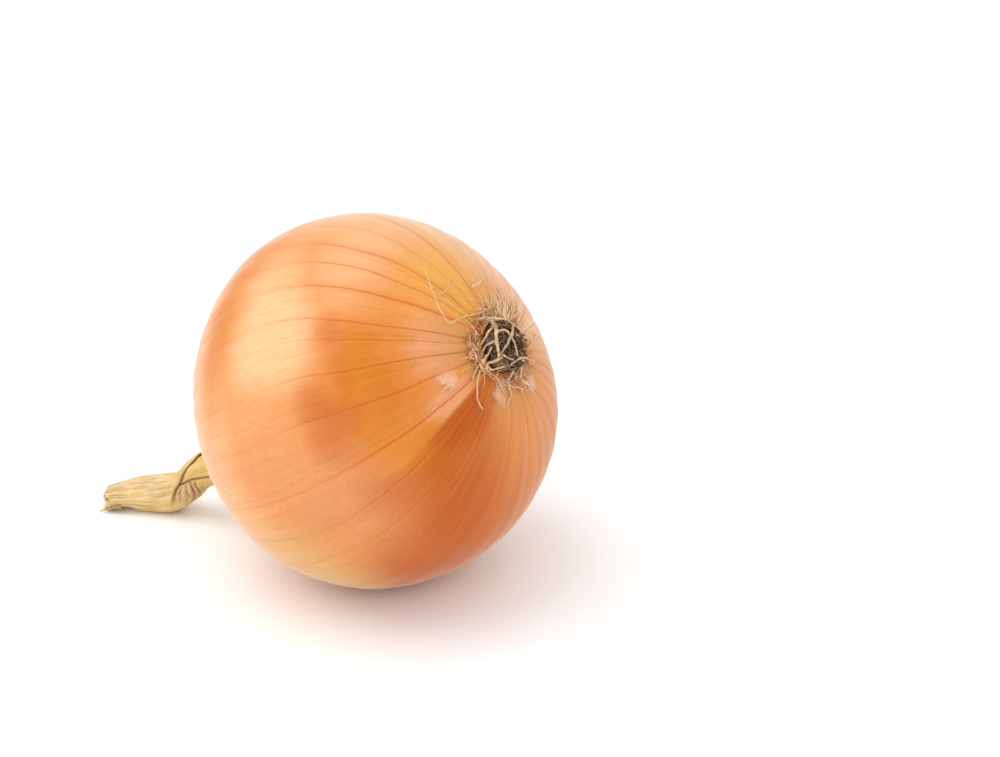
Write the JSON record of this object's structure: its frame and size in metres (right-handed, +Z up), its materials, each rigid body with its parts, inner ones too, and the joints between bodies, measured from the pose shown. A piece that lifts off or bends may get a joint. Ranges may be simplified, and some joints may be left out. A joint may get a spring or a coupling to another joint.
{
  "type": "onion",
  "caption": "Whole yellow onion lying on its side, with a dried bent neck on the floor and dry rootlets and torn skin at its root end.",
  "frame": {"origin": "middle of the small flat spot that the bulb rests on", "axes": "+Z up; +X along the floor from the dried neck towards the root end; +Y to the left when looking along +X"},
  "size_m": [0.1076, 0.0778, 0.0763],
  "materials": {
    "onion_skin": "satin",
    "root_cork": "matte",
    "dry_root": "matte",
    "torn_skin": "matte",
    "dry_leaf": "matte"
  },
  "bodies": {
    "root": {"bulb": "onion_skin", "root_plate": "root_cork", "nest_root_01": "dry_root", "nest_root_02": "dry_root", "nest_root_03": "dry_root", "nest_root_04": "dry_root", "nest_root_05": "dry_root", "nest_root_06": "dry_root", "nest_root_07": "dry_root", "nest_root_08": "dry_root", "nest_root_09": "dry_root", "spray_root_01": "dry_root", "spray_root_02": "dry_root", "spray_root_03": "dry_root", "spray_root_04": "dry_root", "spray_root_05": "dry_root", "spray_root_06": "dry_root", "spray_root_07": "dry_root", "spray_root_08": "dry_root", "spray_root_09": "dry_root", "spray_root_10": "dry_root", "spray_root_11": "dry_root", "spray_root_12": "dry_root", "collar_flake_1": "torn_skin", "collar_flake_2": "torn_skin", "collar_flake_3": "torn_skin", "collar_flake_4": "torn_skin", "collar_flake_5": "torn_skin", "collar_flake_6": "torn_skin", "neck": "dry_leaf", "neck_wrap": "dry_leaf"}
  },
  "joints": []
}
